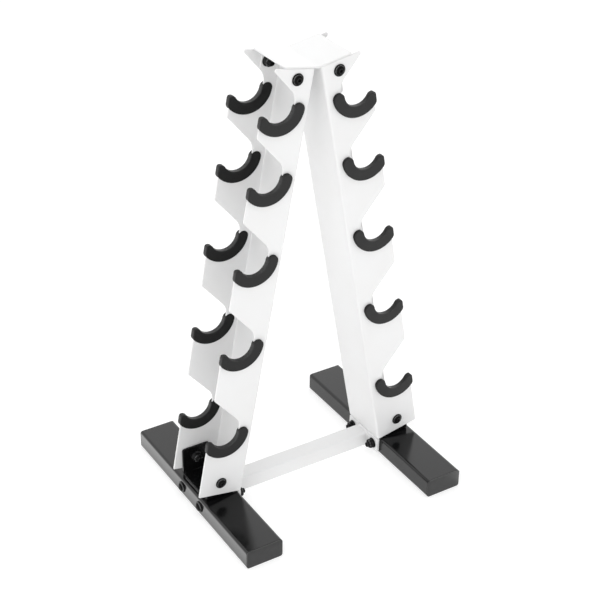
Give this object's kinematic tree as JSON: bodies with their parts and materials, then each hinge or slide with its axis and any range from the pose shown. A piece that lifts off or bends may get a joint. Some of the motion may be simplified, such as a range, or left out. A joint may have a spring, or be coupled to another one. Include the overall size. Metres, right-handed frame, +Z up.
{
  "type": "dumbbell rack",
  "caption": "Free-standing A-frame rack: two leaning notched channels with rubber-lined cradles on each side, on two foot tubes.",
  "frame": {"origin": "on the floor, at the centre of the rack's footprint", "axes": "+X from the left foot to the right foot, across the A; +Y along the feet to the rear; +Z up"},
  "size_m": [0.3944, 0.344, 0.6979],
  "materials": {
    "white_coat": "white powder coat, fine satin",
    "black_gloss": "black gloss paint",
    "rubber": "matt black moulded rubber",
    "plug_plastic": "black moulded plastic, semi-matt",
    "black_oxide": "black oxide on steel, oiled"
  },
  "bodies": {
    "root": {"left_foot": "black_gloss", "left_foot_bracket": "black_gloss", "left_upright": "white_coat", "left_crossbar_plate": "white_coat", "pad_left_front_1": "rubber", "pad_left_front_2": "rubber", "pad_left_front_3": "rubber", "pad_left_front_4": "rubber", "pad_left_front_5": "rubber", "plug_left_front": "plug_plastic", "bolt_top_left_front": "black_oxide", "nut_top_left_front": "black_oxide", "bolt_base_left_front": "black_oxide", "nut_base_left_front": "black_oxide", "bolt_foot_left_front": "black_oxide", "nut_foot_left_front": "black_oxide", "pad_left_rear_1": "rubber", "pad_left_rear_2": "rubber", "pad_left_rear_3": "rubber", "pad_left_rear_4": "rubber", "pad_left_rear_5": "rubber", "plug_left_rear": "plug_plastic", "bolt_top_left_rear": "black_oxide", "nut_top_left_rear": "black_oxide", "bolt_base_left_rear": "black_oxide", "nut_base_left_rear": "black_oxide", "bolt_foot_left_rear": "black_oxide", "nut_foot_left_rear": "black_oxide", "right_foot": "black_gloss", "right_foot_bracket": "black_gloss", "right_upright": "white_coat", "right_crossbar_plate": "white_coat", "pad_right_front_1": "rubber", "pad_right_front_2": "rubber", "pad_right_front_3": "rubber", "pad_right_front_4": "rubber", "pad_right_front_5": "rubber", "plug_right_front": "plug_plastic", "bolt_top_right_front": "black_oxide", "nut_top_right_front": "black_oxide", "bolt_base_right_front": "black_oxide", "nut_base_right_front": "black_oxide", "bolt_foot_right_front": "black_oxide", "nut_foot_right_front": "black_oxide", "pad_right_rear_1": "rubber", "pad_right_rear_2": "rubber", "pad_right_rear_3": "rubber", "pad_right_rear_4": "rubber", "pad_right_rear_5": "rubber", "plug_right_rear": "plug_plastic", "bolt_top_right_rear": "black_oxide", "nut_top_right_rear": "black_oxide", "bolt_base_right_rear": "black_oxide", "nut_base_right_rear": "black_oxide", "bolt_foot_right_rear": "black_oxide", "nut_foot_right_rear": "black_oxide", "top_bracket": "white_coat", "crossbar_tube": "white_coat"}
  },
  "joints": []
}
